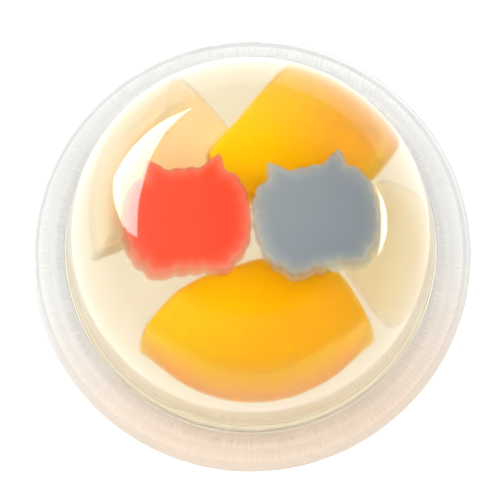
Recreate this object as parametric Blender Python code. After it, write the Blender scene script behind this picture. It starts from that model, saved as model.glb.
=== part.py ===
"""A clear dome cup of fruit jelly that stands dome up on its sealed film.

Units are metres and +Z is up. The origin is the middle of the film's underside.
Every sub-part is turned about the Z axis from a half section.
"""

import math

import bpy

# Film across the cup's mouth
FILM_RADIUS = 0.0472
FILM_THICKNESS = 0.0005

# Clear cup
GAP = 0.0003
WALL = 0.0006
FLANGE_RADIUS = 0.0475
FLANGE_THICKNESS = 0.0009
LIP_INNER_RADIUS = 0.0461
LIP_RISE = 0.0004
LIP_ROUND = 0.0003
COLLAR_RADIUS = 0.0396
COLLAR_HEIGHT = 0.0024
COLLAR_ROUND = 0.0005
DOME_RADIUS = 0.0382
DOME_HEIGHT = 0.0390
DOME_POWER = 2.5

# Fineness of the turned shapes
TURN_STEPS = 48
DOME_POINTS = 13
MERGE_DISTANCE = 0.00001

FLANGE_BOTTOM = FILM_THICKNESS + GAP
FLANGE_TOP = FLANGE_BOTTOM + FLANGE_THICKNESS
COLLAR_TOP = FLANGE_TOP + COLLAR_HEIGHT


def clear_scene():
    for item in list(bpy.data.objects):
        bpy.data.objects.remove(item, do_unlink=True)


def make_material(name, colour, roughness, transmission, ior):
    material = bpy.data.materials.new(name)
    material.use_nodes = True
    shader = material.node_tree.nodes["Principled BSDF"]
    shader.inputs["Base Color"].default_value = (*colour, 1.0)
    shader.inputs["Roughness"].default_value = roughness
    shader.inputs["Metallic"].default_value = 0.0
    shader.inputs["Transmission Weight"].default_value = transmission
    shader.inputs["IOR"].default_value = ior
    material.diffuse_color = (*colour, 1.0)
    return material


def dome_curve(inset):
    """Points of the dome from its crown down to the collar, moved in from the outer face by inset."""
    radius = DOME_RADIUS - inset
    height = DOME_HEIGHT - inset
    points = []
    for step in range(DOME_POINTS):
        angle = 0.5 * math.pi * step / (DOME_POINTS - 1)
        across = radius * math.sin(angle) ** (2.0 / DOME_POWER)
        up = height * max(math.cos(angle), 0.0) ** (2.0 / DOME_POWER)
        points.append((across, COLLAR_TOP + up))
    return points


def round_corner(corner, start_angle, end_angle, radius, steps=3):
    """Points of an arc that rounds a corner, with the arc's centre at corner."""
    points = []
    for step in range(steps + 1):
        angle = math.radians(start_angle + (end_angle - start_angle) * step / steps)
        across = corner[0] + radius * math.cos(angle)
        up = corner[1] + radius * math.sin(angle)
        points.append((across, up))
    return points


def cup_section():
    """The cup's half section: down its outer side, out along the flange and back up inside."""
    section = dome_curve(0.0)
    shoulder = (COLLAR_RADIUS - COLLAR_ROUND, COLLAR_TOP - COLLAR_ROUND)
    section += round_corner(shoulder, 90.0, 0.0, COLLAR_ROUND)
    section.append((COLLAR_RADIUS, FLANGE_TOP))
    section.append((LIP_INNER_RADIUS, FLANGE_TOP))
    section.append((LIP_INNER_RADIUS + LIP_ROUND, FLANGE_TOP + LIP_RISE))
    rim = (FLANGE_RADIUS - LIP_ROUND, FLANGE_TOP + LIP_RISE - LIP_ROUND)
    section += round_corner(rim, 90.0, 0.0, LIP_ROUND)
    section.append((FLANGE_RADIUS, FLANGE_BOTTOM))
    section.append((COLLAR_RADIUS - WALL, FLANGE_BOTTOM))
    section.append((COLLAR_RADIUS - WALL, COLLAR_TOP - WALL))
    section.append((DOME_RADIUS - WALL, COLLAR_TOP - WALL))
    section += reversed(dome_curve(WALL))
    return section


def jelly_section():
    """The jelly's half section: a gap inside the cup's inner face and above the film."""
    inset = WALL + GAP
    section = dome_curve(inset)
    section.append((DOME_RADIUS - inset, COLLAR_TOP - inset))
    section.append((COLLAR_RADIUS - inset, COLLAR_TOP - inset))
    section.append((COLLAR_RADIUS - inset, FLANGE_BOTTOM))
    section.append((0.0, FLANGE_BOTTOM))
    return section


def film_section():
    """The film's half section: a flat disc from the floor up."""
    return [
        (0.0, FILM_THICKNESS),
        (FILM_RADIUS, FILM_THICKNESS),
        (FILM_RADIUS, 0.0),
        (0.0, 0.0),
    ]


def turn(name, section, material):
    """A solid of revolution about Z from a half section that starts and ends on the axis."""
    vertices = [(across, 0.0, up) for across, up in section]
    edges = [(index, index + 1) for index in range(len(vertices) - 1)]
    mesh = bpy.data.meshes.new(name)
    mesh.from_pydata(vertices, edges, [])
    mesh.materials.append(material)
    solid = bpy.data.objects.new(name, mesh)
    bpy.context.collection.objects.link(solid)
    screw = solid.modifiers.new("turn", "SCREW")
    screw.axis = "Z"
    screw.steps = TURN_STEPS
    screw.render_steps = TURN_STEPS
    screw.use_merge_vertices = True
    screw.merge_threshold = MERGE_DISTANCE
    screw.use_smooth_shade = True
    return solid


def make_cup():
    clear = make_material("cup_plastic", (0.93, 0.93, 0.91), 0.08, 0.9, 1.5)
    return turn("cup", cup_section(), clear)


def make_jelly():
    pale = make_material("jelly", (0.90, 0.86, 0.68), 0.05, 0.9, 1.35)
    return turn("jelly", jelly_section(), pale)


def make_film():
    milky = make_material("film_plastic", (0.90, 0.89, 0.87), 0.25, 0.6, 1.45)
    return turn("film", film_section(), milky)


def main():
    clear_scene()
    make_film()
    make_jelly()
    make_cup()


main()
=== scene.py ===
"""Looks of a clear dome cup of fruit jelly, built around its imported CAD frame."""

import math

import bmesh
import bpy
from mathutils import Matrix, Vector, noise


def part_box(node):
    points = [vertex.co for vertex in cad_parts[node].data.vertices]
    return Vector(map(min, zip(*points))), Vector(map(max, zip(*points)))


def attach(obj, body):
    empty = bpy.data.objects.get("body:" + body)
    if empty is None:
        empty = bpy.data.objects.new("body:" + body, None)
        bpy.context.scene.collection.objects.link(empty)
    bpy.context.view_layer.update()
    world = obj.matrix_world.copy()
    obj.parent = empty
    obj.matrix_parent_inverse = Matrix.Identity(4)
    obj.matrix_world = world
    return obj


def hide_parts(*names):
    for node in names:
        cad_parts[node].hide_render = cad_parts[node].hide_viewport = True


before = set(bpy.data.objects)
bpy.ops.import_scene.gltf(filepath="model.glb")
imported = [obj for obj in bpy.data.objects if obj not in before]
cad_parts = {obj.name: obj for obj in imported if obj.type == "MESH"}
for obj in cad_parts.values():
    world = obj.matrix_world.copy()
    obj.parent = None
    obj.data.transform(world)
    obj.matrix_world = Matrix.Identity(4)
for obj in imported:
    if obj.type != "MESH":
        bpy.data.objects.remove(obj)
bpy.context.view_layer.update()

MM = 0.001

# Sizes read from the frame
_, cup_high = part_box("cup")
_, film_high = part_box("film")
FLANGE_RADIUS = cup_high[0]
CROWN = cup_high[2]
FILM_RADIUS = film_high[0]
FILM_TOP = film_high[2]

# The cup's section
WALL = 0.6 * MM
FLANGE_TOP = 1.7 * MM
COLLAR_TOP = 4.1 * MM
COLLAR_RADIUS = 39.6 * MM
DOME_RADIUS = 38.2 * MM
DOME_POWER = 2.5
DOME_HEIGHT = CROWN - COLLAR_TOP
FOOT_FILLET = 0.2 * MM
COLLAR_ROUND = 0.25 * MM
EDGE_ROUND = 0.15 * MM
TURN_STEPS = 240
CREASE = 32.0

# Grooves moulded into the flange: end of the flat before it, radius of its middle, lift and radius of its arc
GROOVES = (
    (41.2 * MM, 41.5 * MM, 0.02 * MM, 0.22 * MM),
    (43.0 * MM, 43.1 * MM, 0.0, 0.15 * MM),
    (45.8 * MM, 46.1 * MM, 0.02 * MM, 0.22 * MM),
)

# The heat seal: rows of ribs as inner and outer radius, ribs in a row and their height
SEAL_ROWS = ((40.3 * MM, 42.6 * MM), (43.6 * MM, 45.5 * MM))
SEAL_RIBS = 250
SEAL_RELIEF = 0.22 * MM

# Refraction. Flesh passes light on nearly straight, and plastic bends it most.
PLASTIC_IOR = 1.45
JELLY_IOR = 1.35
FLESH_IOR = 1.02

# The sunk pieces. Roundings are in mm, and fades are shares of the way from the outline to the middle.
CUT_ROUND = 0.6
SKIN_ROUND = 4.0
SKIN_FADE = 0.4
CAT_ROUND = 0.8
CAT_TOP = 33.5 * MM
CAT_DEPTH = 6.5 * MM
CAP_STEPS = (0.97, 0.93, 0.88, 0.82, 0.74, 0.64, 0.5, 0.3)

# The studio's panels. FAR is how far off the side ones stand, and it scales the outlines of all four.
FAR = 0.9
KEY_HEIGHT = 1.0
PANEL_BASE = 0.035
TOP_STRENGTH = 3.05
LEFT_STRENGTH = 24.0
RIGHT_STRENGTH = 28.0
FRONT_STRENGTH = 0.8

# The floor: half its width, how far it lies below the film, and the strength of its own glow
FLOOR_SIZE = 3.0
FLOOR_DROP = 0.2 * MM
FLOOR_GLOW = 0.74

# The camera: elevation in degrees, distance, lens in mm, and its aim, up and left of the flange's middle
CAMERA_ELEVATION = 78.2
CAMERA_DISTANCE = 0.35
CAMERA_LENS = 118.0
AIM_UP = -0.47 * MM
AIM_LEFT = 0.15 * MM


# ---------------------------------------------------------------- materials
def srgb(red, green, blue):
    """A colour given as 0-255 sRGB, turned to linear for a shader's socket."""
    channels = []
    for value in (red, green, blue):
        v = value / 255.0
        channels.append(v / 12.92 if v <= 0.04045 else ((v + 0.055) / 1.055) ** 2.4)
    return (*channels, 1.0)


def new_material(name):
    material = bpy.data.materials.new(name)
    material.use_nodes = True
    tree = material.node_tree
    return material, tree, tree.nodes["Principled BSDF"]


def add_noise(tree, scale, detail=2.0):
    """Noise in the piece's own coordinates, so that it stays with the piece."""
    coords = tree.nodes.new("ShaderNodeTexCoord")
    texture = tree.nodes.new("ShaderNodeTexNoise")
    texture.inputs["Scale"].default_value = scale
    texture.inputs["Detail"].default_value = detail
    tree.links.new(coords.outputs["Object"], texture.inputs["Vector"])
    return texture


def add_bump(tree, shader, height_socket, strength, distance):
    bump = tree.nodes.new("ShaderNodeBump")
    bump.inputs["Strength"].default_value = strength
    bump.inputs["Distance"].default_value = distance
    tree.links.new(height_socket, bump.inputs["Height"])
    tree.links.new(bump.outputs["Normal"], shader.inputs["Normal"])


def clear_plastic(name, tint, mirror):
    """Clear cup plastic. mirror is the tint of its own reflections, black where jelly wets it."""
    material, tree, shader = new_material(name)
    shader.inputs["Base Color"].default_value = tint
    shader.inputs["Roughness"].default_value = 0.02
    shader.inputs["Transmission Weight"].default_value = 1.0
    shader.inputs["IOR"].default_value = PLASTIC_IOR
    shader.inputs["Specular Tint"].default_value = mirror
    ripple = add_noise(tree, 90.0)
    add_bump(tree, shader, ripple.outputs["Fac"], 0.05, 0.2 * MM)
    return material


def jelly_material():
    material, tree, shader = new_material("clear_jelly")
    shader.inputs["Base Color"].default_value = srgb(252, 246, 224)
    shader.inputs["Roughness"].default_value = 0.16
    shader.inputs["Transmission Weight"].default_value = 1.0
    shader.inputs["IOR"].default_value = JELLY_IOR
    shader.inputs["Specular Tint"].default_value = (0.0, 0.0, 0.0, 1.0)
    ripple = add_noise(tree, 60.0)
    add_bump(tree, shader, ripple.outputs["Fac"], 0.05, 0.3 * MM)
    return material


def film_material():
    """The film below the jelly: frosted, so that the floor's light spreads through it."""
    material, tree, shader = new_material("film_plastic")
    shader.inputs["Base Color"].default_value = srgb(248, 246, 242)
    shader.inputs["Roughness"].default_value = 0.8
    shader.inputs["Transmission Weight"].default_value = 0.95
    shader.inputs["IOR"].default_value = PLASTIC_IOR
    grain = add_noise(tree, 900.0)
    add_bump(tree, shader, grain.outputs["Fac"], 0.1, 0.1 * MM)
    return material


def seal_material(name, back, front):
    """The heat seal: milky plastic, whitish at the back and left, with painted warm light towards the front
    and right, for light coloured by the fruit and jelly.
    """
    material, tree, shader = new_material(name)
    coords = tree.nodes.new("ShaderNodeTexCoord")
    slope = tree.nodes.new("ShaderNodeVectorMath")
    slope.operation = "DOT_PRODUCT"
    slope.inputs[1].default_value = (0.15, -1.0, 0.0)
    spread = tree.nodes.new("ShaderNodeMapRange")
    spread.interpolation_type = "SMOOTHSTEP"
    spread.inputs["From Min"].default_value = 0.0
    spread.inputs["From Max"].default_value = 46.0 * MM
    # Painted warm light: the colour turns from back to warm front across the flange along this slope.
    mix = tree.nodes.new("ShaderNodeMix")
    mix.data_type = "RGBA"
    mix.inputs["A"].default_value = back
    mix.inputs["B"].default_value = front
    tree.links.new(coords.outputs["Object"], slope.inputs[0])
    tree.links.new(slope.outputs["Value"], spread.inputs["Value"])
    tree.links.new(spread.outputs["Result"], mix.inputs["Factor"])
    tree.links.new(mix.outputs["Result"], shader.inputs["Base Color"])
    shader.inputs["Roughness"].default_value = 0.6
    shader.inputs["Transmission Weight"].default_value = 0.2
    shader.inputs["IOR"].default_value = PLASTIC_IOR
    shader.inputs["Specular IOR Level"].default_value = 0.1
    return material


def flesh_material(name, deep, light, lit, rim, skin, clear=0.0, middle=0.0):
    """Moist flesh or cloudy jelly. Soft clouds mix deep and light; the piece's own attributes mix in
    lit, a painted light on the side where light soaks in, rim, a painted glow of light along cut edges,
    and skin on the skin side. The share of light that passes through is clear at the rim and middle away from
    it."""
    material, tree, shader = new_material(name)
    cloud = add_noise(tree, 45.0)
    ramp = tree.nodes.new("ShaderNodeValToRGB")
    ramp.color_ramp.elements[0].position = 0.35
    ramp.color_ramp.elements[0].color = deep
    ramp.color_ramp.elements[1].position = 0.65
    ramp.color_ramp.elements[1].color = light
    tree.links.new(cloud.outputs["Fac"], ramp.inputs["Fac"])
    colour = ramp.outputs["Color"]
    edge_socket = None
    # Painted light: lit and rim are lighter tones laid where light falls in and along edges where it glows
    # through.
    for attribute, tone in (("lit", lit), ("edge", rim), ("skin", skin)):
        share = tree.nodes.new("ShaderNodeAttribute")
        share.attribute_name = attribute
        mix = tree.nodes.new("ShaderNodeMix")
        mix.data_type = "RGBA"
        mix.inputs["B"].default_value = tone
        tree.links.new(share.outputs["Fac"], mix.inputs["Factor"])
        tree.links.new(colour, mix.inputs["A"])
        colour = mix.outputs["Result"]
        if attribute == "edge":
            edge_socket = share.outputs["Fac"]
    tree.links.new(colour, shader.inputs["Base Color"])
    if clear > 0.0:
        passing = tree.nodes.new("ShaderNodeMapRange")
        passing.inputs["To Min"].default_value = middle
        passing.inputs["To Max"].default_value = clear
        tree.links.new(edge_socket, passing.inputs["Value"])
        tree.links.new(passing.outputs["Result"], shader.inputs["Transmission Weight"])
        shader.inputs["IOR"].default_value = FLESH_IOR
    shader.inputs["Roughness"].default_value = 0.4
    shader.inputs["Specular IOR Level"].default_value = 0.0
    shader.inputs["Subsurface Weight"].default_value = 0.2
    shader.inputs["Subsurface Scale"].default_value = 2.0 * MM
    fibre = add_noise(tree, 300.0, 3.0)
    add_bump(tree, shader, fibre.outputs["Fac"], 0.1, 0.2 * MM)
    return material


# ---------------------------------------------------------------- mesh helpers
def mesh_object(name, bm, materials, crease=180.0):
    """Makes a smooth-shaded piece. Edges that bend by more than crease degrees stay sharp."""
    bmesh.ops.recalc_face_normals(bm, faces=bm.faces)
    mesh = bpy.data.meshes.new(name)
    bm.to_mesh(mesh)
    bm.free()
    for material in materials:
        mesh.materials.append(material)
    mesh.shade_smooth()
    mesh.set_sharp_from_angle(angle=math.radians(crease))
    piece = bpy.data.objects.new(name, mesh)
    bpy.context.scene.collection.objects.link(piece)
    return piece


def turned(bm, section, steps, height_at=None):
    """Turns a half section about Z. section holds (radius, height, material index of the next face)."""
    rings = []
    for radius, up, _ in section:
        if radius < 1e-7:
            rings.append([bm.verts.new((0.0, 0.0, up))])
            continue
        ring = []
        for step in range(steps):
            angle = 2.0 * math.pi * step / steps
            lift = height_at(radius, angle) if height_at else 0.0
            ring.append(bm.verts.new((radius * math.cos(angle), radius * math.sin(angle), up + lift)))
        rings.append(ring)
    for index in range(len(rings) - 1):
        upper, lower = rings[index], rings[index + 1]
        for step in range(steps):
            after = (step + 1) % steps
            if len(upper) == 1:
                corners = (upper[0], lower[step], lower[after])
            elif len(lower) == 1:
                corners = (upper[step], lower[0], upper[after])
            else:
                corners = (upper[step], lower[step], lower[after], upper[after])
            face = bm.faces.new(corners)
            face.material_index = section[index][2]


def arc(centre, start, end, radius, steps=6):
    points = []
    for step in range(steps + 1):
        angle = math.radians(start + (end - start) * step / steps)
        points.append((centre[0] + radius * math.cos(angle), centre[1] + radius * math.sin(angle)))
    return points


def dome_curve(inset, count=48):
    """Points of the dome from crown to collar, moved in from the outer face by inset."""
    radius = DOME_RADIUS - inset
    height = DOME_HEIGHT - inset
    points = []
    for step in range(count + 1):
        angle = 0.5 * math.pi * step / count
        across = radius * math.sin(angle) ** (2.0 / DOME_POWER)
        up = height * max(math.cos(angle), 0.0) ** (2.0 / DOME_POWER)
        points.append((across, COLLAR_TOP + up))
    return points


# ---------------------------------------------------------------- cup, film, jelly
def make_cup():
    outer = dome_curve(0.0)
    outer += arc((DOME_RADIUS + FOOT_FILLET, COLLAR_TOP + FOOT_FILLET), 180, 270, FOOT_FILLET)[1:]
    outer += arc((COLLAR_RADIUS - COLLAR_ROUND, COLLAR_TOP - COLLAR_ROUND), 90, 0, COLLAR_ROUND)
    outer += arc((COLLAR_RADIUS + FOOT_FILLET, FLANGE_TOP + FOOT_FILLET), 180, 270, FOOT_FILLET)
    for flat_end, middle, lift, bend in GROOVES:
        outer.append((flat_end, FLANGE_TOP))
        outer += arc((middle, FLANGE_TOP + lift), 180, 360, bend)
    outer += arc((FLANGE_RADIUS - EDGE_ROUND, FLANGE_TOP - EDGE_ROUND), 90, 0, EDGE_ROUND)
    outer += arc((FLANGE_RADIUS - EDGE_ROUND, FILM_TOP + EDGE_ROUND), 0, -90, EDGE_ROUND)
    inner = [(COLLAR_RADIUS - WALL, FILM_TOP)]
    inner.append((COLLAR_RADIUS - WALL, COLLAR_TOP - WALL))
    inner.append((DOME_RADIUS - WALL, COLLAR_TOP - WALL))
    inner += reversed(dome_curve(WALL))
    section = [(r, z, 0) for r, z in outer]
    section += [(r, z, 1) for r, z in inner]
    bm = bmesh.new()
    turned(bm, section, TURN_STEPS)
    tint = (0.985, 0.985, 0.98, 1.0)
    glossy = clear_plastic("cup_plastic", tint, (0.5, 0.5, 0.5, 1.0))
    wetted = clear_plastic("cup_plastic_wetted", tint, (0.0, 0.0, 0.0, 1.0))
    return mesh_object("cup_shell", bm, [glossy, wetted], CREASE)


def seal_relief(radius, angle):
    """Height of the knurled heat seal: two rows of short ribs with a smooth ring between."""
    for low, high in SEAL_ROWS:
        if low < radius < high:
            fade = math.sin(math.pi * (radius - low) / (high - low)) ** 0.5
            return SEAL_RELIEF * fade * 0.5 * (1.0 + math.cos(SEAL_RIBS * angle))
    return 0.0


def make_film():
    top = FILM_TOP - SEAL_RELIEF
    section = [(0.0, top, 0), (COLLAR_RADIUS, top, 1)]
    for low, high in SEAL_ROWS:
        for step in range(9):
            section.append((low + (high - low) * step / 8.0, top, 1))
    section[-1] = (*section[-1][:2], 2)
    section.append((FILM_RADIUS - 0.2 * MM, top, 2))
    section.append((FILM_RADIUS, top - 0.1 * MM, 2))
    section.append((FILM_RADIUS, 0.05 * MM, 2))
    section.append((FILM_RADIUS - 0.1 * MM, 0.0, 1))
    section.append((COLLAR_RADIUS, 0.0, 0))
    section.append((0.0, 0.0, 0))
    bm = bmesh.new()
    turned(bm, section, SEAL_RIBS * 6, seal_relief)
    # Both seals fade into painted warm light towards the front. film_rim is a darker copy: painted shade on
    # the outer band and edge, which catch more light.
    seal = seal_material("film_seal", srgb(229, 229, 227), srgb(229, 209, 189))
    rim = seal_material("film_rim", srgb(210, 210, 210), srgb(216, 200, 184))
    return mesh_object("seal_film", bm, [film_material(), seal, rim], CREASE)


def make_jelly():
    """The clear jelly. It reaches into the cup's wall, so that no gap of air shows between them."""
    inset = 0.75 * WALL
    foot = FILM_TOP - 0.2 * MM
    section = [(r, z, 0) for r, z in dome_curve(inset)]
    section.append((COLLAR_RADIUS - inset, COLLAR_TOP - inset, 0))
    section.append((COLLAR_RADIUS - inset, foot, 0))
    section.append((0.0, foot, 0))
    bm = bmesh.new()
    turned(bm, section, TURN_STEPS)
    return mesh_object("clear_jelly_body", bm, [jelly_material()], CREASE)


# ---------------------------------------------------------------- sunk pieces
def arc_between(start, end, bulge, spacing=0.25):
    """Points from start towards end, in mm, on an arc that stands out to the right of the way by bulge."""
    start, end = Vector(start), Vector(end)
    half = 0.5 * (end - start).length
    along = (end - start).normalized()
    outside = Vector((along.y, -along.x))
    radius = (half * half + bulge * bulge) / (2.0 * bulge)
    centre = 0.5 * (start + end) - outside * (radius - bulge)
    sweep = math.copysign(2.0 * math.asin(half / abs(radius)), bulge)
    steps = max(int(abs(radius * sweep) / spacing), 1)
    spoke = start - centre
    points = []
    for step in range(steps):
        cos, sin = math.cos(sweep * step / steps), math.sin(sweep * step / steps)
        points.append(centre + Vector((spoke.x * cos - spoke.y * sin, spoke.x * sin + spoke.y * cos)))
    return points


def slice_outline(corners, bulges, rounding=3, count=200):
    """A closed outline through corners, counter-clockwise in mm, whose sides stand out by bulges."""
    dense = []
    for index, bulge in enumerate(bulges):
        dense += arc_between(corners[index], corners[(index + 1) % len(corners)], bulge)
    total = len(dense)
    for _ in range(3):
        dense = [
            sum((dense[(index + k) % total] for k in range(-rounding, rounding + 1)), Vector((0.0, 0.0)))
            / (2 * rounding + 1)
            for index in range(total)
        ]
    lengths = [0.0]
    for index in range(total):
        lengths.append(lengths[-1] + (dense[(index + 1) % total] - dense[index]).length)
    even = []
    cursor = 0
    for step in range(count):
        goal = lengths[-1] * step / count
        while lengths[cursor + 1] < goal:
            cursor += 1
        share = (goal - lengths[cursor]) / (lengths[cursor + 1] - lengths[cursor])
        even.append(dense[cursor].lerp(dense[(cursor + 1) % total], share) * MM)
    return even


def outward(outline):
    """Unit normals that point out of a closed outline that runs counter-clockwise."""
    total = len(outline)
    normals = []
    for index in range(total):
        along = outline[(index + 1) % total] - outline[index - 1]
        normals.append(Vector((along.y, -along.x)).normalized())
    return normals


def loft(name, rings, material, wobble, seed, fades, sunny):
    """A closed solid through stacked outlines, top first. rings holds (outline, height, edge, skin), the
    last a list of one share per point. fades says how far in the edge tone reaches across the upper and
    the lower cap, and sunny is the direction of the lit side."""
    bm = bmesh.new()
    edge_layer = bm.verts.layers.float.new("edge")
    skin_layer = bm.verts.layers.float.new("skin")
    lit_layer = bm.verts.layers.float.new("lit")
    stack = []
    for outline, up, edge, skin in rings:
        ring = []
        for point, normal, share in zip(outline, outward(outline), skin):
            shake = noise.noise(Vector((point.x, point.y, up)) * 180.0 + Vector((seed, 0.0, 0.0))) * wobble
            vert = bm.verts.new((*(point + normal * shake), up + 0.3 * shake))
            vert[edge_layer] = edge
            vert[skin_layer] = share
            ring.append(vert)
        stack.append(ring)
    total = len(stack[0])
    for upper, lower in zip(stack, stack[1:]):
        for index in range(total):
            after = (index + 1) % total
            bm.faces.new((upper[index], lower[index], lower[after], upper[after]))
    for ring, (_, _, edge, skin), fade in ((stack[0], rings[0], fades[0]), (stack[-1], rings[-1], fades[1])):
        centre = sum((vert.co for vert in ring), Vector()) / total
        outer = ring
        for share in CAP_STEPS:
            inner = []
            fall = max(1.0 - (1.0 - share) / fade, 0.0) ** 2
            skin_fall = max(1.0 - (1.0 - share) / SKIN_FADE, 0.0) ** 2
            for vert, skin_share in zip(ring, skin):
                place = centre.lerp(vert.co, share)
                place.z += noise.noise(Vector((place.x, place.y, seed)) * 150.0) * wobble
                new = bm.verts.new(place)
                new[edge_layer] = edge * fall
                new[skin_layer] = skin_share * skin_fall
                inner.append(new)
            for index in range(total):
                after = (index + 1) % total
                bm.faces.new((outer[index], outer[after], inner[after], inner[index]))
            outer = inner
        bm.faces.new(outer)
    # Painted light: the lit share grows towards the sunny side, where the light comes from.
    sun = Vector((math.cos(math.radians(sunny)), math.sin(math.radians(sunny)), 0.0))
    reaches = [vert.co.dot(sun) for vert in bm.verts]
    low, high = min(reaches), max(reaches)
    for vert in bm.verts:
        share = (vert.co.dot(sun) - low) / (high - low)
        vert[lit_layer] = max(share - 0.4, 0.0) / 0.6
    return mesh_object(name, bm, [material])


def quarter(step, steps):
    """Inset and drop of a rounded edge, from its upper end to its outer end, as shares of its radius."""
    angle = 0.5 * math.pi * step / steps
    return 1.0 - math.sin(angle), 1.0 - math.cos(angle)


def peach_slice(name, corners, bulges, top, depth, skin_side, material, seed, sunny):
    """A slice of peach whose first side is its skin. skin_side is the direction that the skin faces."""
    outline = slice_outline(corners, bulges)
    normals = outward(outline)
    facing = Vector((math.cos(math.radians(skin_side)), math.sin(math.radians(skin_side))))
    skin = [min(max(normal.dot(facing), 0.0) * 1.4, 1.0) ** 2 for normal in normals]
    total = len(skin)
    for _ in range(4):
        skin = [(skin[index - 1] + skin[index] + skin[(index + 1) % total]) / 3.0 for index in range(total)]
    rise = 0.34 * depth
    rings = []

    def ring_at(up, inset, edge):
        """One outline, drawn in by the cut sides' small rounding and the skin side's large one."""
        points = []
        for point, normal, share in zip(outline, normals, skin):
            reach = CUT_ROUND + (SKIN_ROUND - CUT_ROUND) * share
            points.append(point - normal * inset * reach * MM)
        rings.append((points, up, edge, [share * (1.0 - inset) ** 1.5 for share in skin]))

    # edge sets how much of the rim tone, a painted edge glow, each ring gets, and how clear it is where the
    # flesh passes light.
    for step in range(9):
        inset, drop = quarter(step, 8)
        ring_at(top - rise * drop, inset, 0.3 + 0.7 * (1.0 - inset))
    for step in range(1, 6):
        share = step / 5.0
        ring_at(top - rise - (depth - rise) * share, 0.75 * share ** 2, 1.0)
    return loft(name, rings, material, 0.3 * MM, seed, (0.14, 0.3), sunny)


def cat_outline(turn, inset):
    """A plain cat's head, the same on both sides: a wide block with two ears, scalloped fur and two jowls."""
    half_width, half_height, power = 11.1 - inset, 9.3 - inset, 3.4
    ear_height = 3.2 - 0.9 * inset
    points = []
    count = 360
    for step in range(count):
        angle = 2.0 * math.pi * step / count
        degrees = math.degrees(angle)
        c, s = abs(math.cos(angle)), abs(math.sin(angle))
        radius = ((c / half_width) ** power + (s / half_height) ** power) ** (-1.0 / power)
        for ear in (60.0, 120.0):
            radius += ear_height * max(1.0 - abs(degrees - ear) / 10.0, 0.0) ** 1.15
        radius += 0.36 * abs(math.sin(12.0 * angle)) ** 0.8
        for cheek in (0.0, 180.0, 360.0):
            radius += 0.45 * max(1.0 - abs(degrees - cheek) / 30.0, 0.0)
        for jowl in (238.0, 302.0):
            radius += 0.5 * (1.0 + math.cos(math.pi * min(abs(degrees - jowl) / 17.0, 1.0)))
        points.append(Vector((radius * math.cos(angle), radius * math.sin(angle))) * MM)
    cos, sin = math.cos(math.radians(turn)), math.sin(math.radians(turn))
    return [Vector((p.x * cos - p.y * sin, p.x * sin + p.y * cos)) for p in points]


def cat_jelly(name, centre, turn, material, seed):
    """A flat jelly in the outline of a plain cat's head, centre in mm and turn in degrees."""
    shift = Vector(centre) * MM
    # edge sets how much painted edge glow and clearness each layer gets, more down the sides.
    layers = []
    for step in range(6):
        inset, drop = quarter(step, 5)
        layers.append((CAT_TOP - CAT_ROUND * MM * drop, CAT_ROUND * inset, 0.15 + 0.3 * (1.0 - inset)))
    for step in range(1, 7):
        share = step / 6.0
        up = CAT_TOP - CAT_ROUND * MM - (CAT_DEPTH - CAT_ROUND * MM) * share
        layers.append((up, -0.1 * share, 0.45 + 0.5 * share))
    rings = []
    for up, inset, edge in layers:
        outline = [point + shift for point in cat_outline(turn, inset)]
        rings.append((outline, up, edge, [0.0] * len(outline)))
    return loft(name, rings, material, 0.15 * MM, seed, (0.25, 9.0), 150.0)


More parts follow.
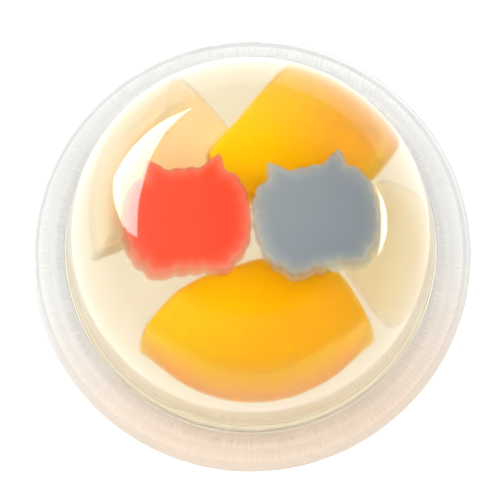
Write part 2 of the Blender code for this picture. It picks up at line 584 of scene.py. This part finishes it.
def make_sunk_pieces():
    # lit and rim in each flesh below are painted light: lighter where light falls in and along edges where it
    # glows through.
    yellow = flesh_material("yellow_peach", srgb(255, 177, 0), srgb(255, 186, 0), srgb(255, 214, 8),
                            srgb(255, 204, 36), srgb(255, 168, 36))
    white = flesh_material("white_peach", srgb(251, 219, 165), srgb(253, 228, 180), srgb(254, 234, 192),
                           srgb(255, 244, 222), srgb(254, 240, 214), 0.25)
    # Painted light: the right slice's white peach, in a lighter copy because less light reaches it.
    white_lighter_copy = flesh_material("white_peach_painted_lighter", srgb(254, 240, 210), srgb(255, 244, 218), srgb(255, 246, 222),
                          srgb(255, 250, 238), srgb(255, 246, 226), 0.9, 0.7)
    red = flesh_material("red_jelly", srgb(255, 82, 60), srgb(255, 91, 68), srgb(255, 94, 72),
                         srgb(255, 206, 186), srgb(255, 206, 186), 0.95)
    blue = flesh_material("blue_jelly", srgb(140, 153, 175), srgb(149, 161, 182), srgb(155, 166, 185),
                          srgb(246, 247, 240), srgb(246, 247, 240), 0.95)
    # name, material, slot, corners and bulges in mm, top and depth in mm, skin side, seed, lit side
    peaches = [
        ("peach_front", yellow, "yellow_peach", [(-19.6, -19.8), (21.6, -18.1), (15.0, -8.2), (-1.8, -7.5)],
         [13.0, 0.6, 1.5, 2.6], 23.3, 12, -88, 1.0, 165.0),
        ("peach_back", yellow, "yellow_peach",
         [(27.0, 17.4), (10.0, 33.2), (-8.0, 13.1), (-0.5, 4.6), (21.2, 9.2)],
         [3.2, 0.2, 1.0, 0.8, 0.5], 23.2, 12, 24, 5.0, 150.0),
        ("peach_left", white, "white_peach",
         [(-14.6, 29.6), (-27.0, -5.0), (-8.0, 3.0), (-4.0, 7.1), (-7.9, 12.3), (-3.3, 17.5)],
         [5.7, 0.1, 0.1, 0.1, 0.1, 0.2], 21.5, 11, 160, 9.0, 150.0),
        ("peach_right", white_lighter_copy, "white_peach", [(22.6, -15.6), (23.0, 8.6), (12.4, 2.0), (16.8, -8.0)],
         [11.7, 0.5, 0.5, 0.3], 20.0, 11, 0, 13.0, 0.0),
    ]
    pieces = []
    for name, material, slot, corners, bulges, top, depth, skin_side, seed, sunny in peaches:
        piece = peach_slice(name, corners, bulges, top * MM, depth * MM, skin_side, material, seed, sunny)
        pieces.append((piece, slot))
    pieces.append((cat_jelly("cat_jelly_red", (-11.8, -1.0), 4.0, red, 17.0), "red_jelly"))
    pieces.append((cat_jelly("cat_jelly_blue", (12.3, -0.6), 12.0, blue, 21.0), "blue_jelly"))
    for piece, slot in pieces:
        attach(piece, "root")


# ---------------------------------------------------------------- studio
def make_floor():
    bm = bmesh.new()
    ground = ((-1, -1), (1, -1), (1, 1), (-1, 1))
    bm.faces.new([bm.verts.new((x * FLOOR_SIZE, y * FLOOR_SIZE, -FLOOR_DROP)) for x, y in ground])
    material, tree, shader = new_material("studio_floor")
    shader.inputs["Base Color"].default_value = (0.5, 0.5, 0.5, 1.0)
    shader.inputs["Roughness"].default_value = 0.9
    shader.inputs["Emission Color"].default_value = (1.0, 1.0, 1.0, 1.0)
    shader.inputs["Emission Strength"].default_value = FLOOR_GLOW
    floor = mesh_object("studio_floor", bm, [material])


def softbox(name, corners, strength, glossy=True):
    """A flat glowing panel, hidden from the camera. A glossy one shows in reflections but not through the
    cup, and one that isn't glossy lights the scene without a reflection of its own."""
    bm = bmesh.new()
    bm.faces.new([bm.verts.new(corner) for corner in corners])
    material = bpy.data.materials.new(name)
    material.use_nodes = True
    tree = material.node_tree
    tree.nodes.clear()
    glow = tree.nodes.new("ShaderNodeEmission")
    glow.inputs["Strength"].default_value = strength
    output = tree.nodes.new("ShaderNodeOutputMaterial")
    tree.links.new(glow.outputs["Emission"], output.inputs["Surface"])
    panel = mesh_object(name, bm, [material])
    panel.visible_camera = False
    panel.visible_transmission = not glossy
    panel.visible_glossy = glossy
    panel.visible_shadow = False


def make_lights():
    world = bpy.data.worlds.new("studio")
    bpy.context.scene.world = world
    world.use_nodes = True
    tree = world.node_tree
    background = tree.nodes["Background"]
    background.inputs["Strength"].default_value = 1.0
    coords = tree.nodes.new("ShaderNodeTexCoord")
    split = tree.nodes.new("ShaderNodeSeparateXYZ")
    ramp = tree.nodes.new("ShaderNodeValToRGB")
    ramp.color_ramp.elements[0].position = 0.5
    ramp.color_ramp.elements[0].color = (1.15, 1.15, 1.15, 1.0)
    ramp.color_ramp.elements[1].position = 0.8
    ramp.color_ramp.elements[1].color = (0.12, 0.12, 0.12, 1.0)
    tree.links.new(coords.outputs["Generated"], split.inputs["Vector"])
    tree.links.new(split.outputs["Z"], ramp.inputs["Fac"])
    tree.links.new(ramp.outputs["Color"], background.inputs["Color"])
    overhead = [(-1.2, -2.0), (1.8, -2.0), (1.8, 1.0), (-1.2, 1.0)]
    softbox("softbox_top", [(x * FAR, y * FAR, KEY_HEIGHT) for x, y in overhead], TOP_STRENGTH, glossy=False)
    left = [(2.35, 0.62), (1.2, 0.17), (0.75, 0.03), (0.5, -0.02), (0.33, 0.09), (0.12, 0.31), (0.04, 0.44),
            (0.0, 0.59), (0.5, 0.64), (1.3, 0.56)]
    softbox("softbox_left", [(-FAR, y * FAR, PANEL_BASE + z * FAR) for y, z in left], LEFT_STRENGTH)
    right = []
    for step in range(13):
        across = step / 6.0 - 1.0
        right.append((0.134 + 0.289 * across, 0.27 - 0.115 * (1.0 - across * across)))
    softbox("softbox_right", [(FAR, y * FAR, PANEL_BASE + z * FAR) for y, z in right], RIGHT_STRENGTH)
    front = [(-1.35, 1.08), (-1.35, 0.1), (1.6, 0.1), (1.6, 1.08)]
    softbox("softbox_front", [(x * FAR, -FAR, PANEL_BASE + z * FAR) for x, z in front], FRONT_STRENGTH)


def make_camera():
    elevation = math.radians(CAMERA_ELEVATION)
    back = Vector((0.0, -math.cos(elevation), math.sin(elevation)))
    up = Vector((0.0, math.sin(elevation), math.cos(elevation)))
    target = Vector((0.0, 0.0, FLANGE_TOP)) + up * AIM_UP - Vector((AIM_LEFT, 0.0, 0.0))
    camera = bpy.data.cameras.new("camera")
    camera.sensor_width = 36.0
    camera.lens = CAMERA_LENS
    holder = bpy.data.objects.new("camera", camera)
    holder.location = target + back * CAMERA_DISTANCE
    holder.rotation_euler = (math.radians(90.0) - elevation, 0.0, 0.0)
    bpy.context.scene.collection.objects.link(holder)
    bpy.context.scene.camera = holder


def main():
    scene = bpy.context.scene
    scene.view_settings.view_transform = "Standard"
    scene.cycles.max_bounces = 24
    scene.cycles.transmission_bounces = 24
    make_camera()
    make_lights()
    make_floor()
    shell = make_cup()
    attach(shell, "root")
    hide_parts("cup")
    film = make_film()
    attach(film, "root")
    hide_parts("film")
    jelly = make_jelly()
    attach(jelly, "root")
    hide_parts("jelly")
    make_sunk_pieces()


main()
